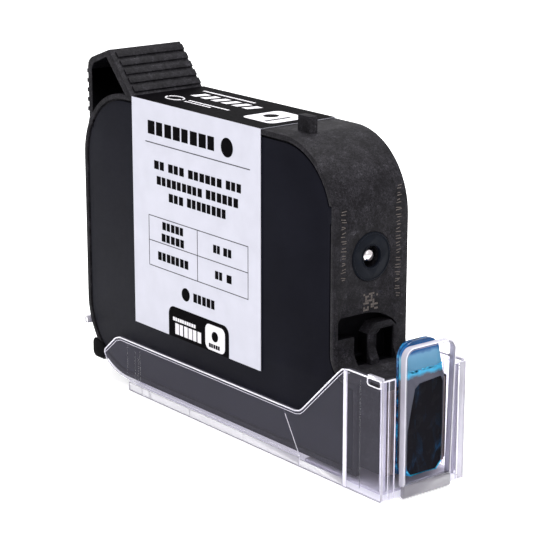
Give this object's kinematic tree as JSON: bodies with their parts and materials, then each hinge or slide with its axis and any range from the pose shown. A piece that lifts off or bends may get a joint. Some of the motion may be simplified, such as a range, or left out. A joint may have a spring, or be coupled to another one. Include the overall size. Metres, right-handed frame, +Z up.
{
  "type": "thermal inkjet print cartridge with protective cap",
  "caption": "Slim inkjet print cartridge with a ribbed grip handle, ball-plugged fill port and nozzle snout, standing in a clear clip cap with a sprung seal flap.",
  "frame": {"origin": "middle of the footprint, on the floor that the cap stands on", "axes": "+Z up, +X along the length towards the nozzle end, +Y across the thickness away from the label's front face"},
  "size_m": [0.1086, 0.0228, 0.0782],
  "materials": {
    "frame": "moulded, lightly mottled",
    "cover": "satin black",
    "label": "printed film label",
    "steel": "bright",
    "port": "smooth dark",
    "film": "metallised film",
    "inner": "natural moulding",
    "flex": "amber polyimide",
    "silicon": "polished",
    "bead": "cured encapsulant",
    "clear": "clear moulding",
    "pad": "translucent blue elastomer"
  },
  "bodies": {
    "cap": {"cap_shell": "clear"},
    "cartridge": {"body_frame": "frame", "side_cover_near": "cover", "side_cover_far": "cover", "label": "label", "inner_frame": "inner", "ink_film_near": "film", "ink_film_far": "film", "bow_spring": "steel", "filter_carrier": "inner", "filter_screen_near": "steel", "filter_screen_far": "steel", "fill_port_ring": "port", "fill_port_ball": "steel", "flex_circuit": "flex", "printhead_die": "silicon", "orifice_plate": "steel", "encapsulant_lower": "bead", "encapsulant_upper": "bead"},
    "plate_near": {"pressure_plate_near": "steel"},
    "plate_far": {"pressure_plate_far": "steel"},
    "flap": {"seal_flap": "clear", "seal_pad": "pad"}
  },
  "joints": [
    {"name": "cap_pull", "type": "slide", "parent": "cap", "child": "cartridge", "axis": [0, 0, 1], "range_m": [0, 0.035]},
    {"name": "flap_hinge", "type": "hinge", "parent": "cap", "child": "flap", "pos_m": [0.05345, 0, 0.0006], "axis": [0, 1, 0], "range_deg": [0, 12], "stiffness_Nm_per_rad": 0.05},
    {"name": "plate_near_travel", "type": "slide", "parent": "cartridge", "child": "plate_near", "axis": [0, 1, 0], "range_m": [0, 0.0032], "stiffness_N_per_m": 60, "deforming": ["bow_spring", "ink_film_near"]},
    {"name": "plate_far_travel", "type": "slide", "parent": "cartridge", "child": "plate_far", "axis": [0, -1, 0], "range_m": [0, 0.0032], "stiffness_N_per_m": 60, "deforming": ["ink_film_far"]}
  ],
  "couplings": [
    {"joint": "plate_far_travel", "follows": "plate_near_travel", "ratio": 1}
  ]
}
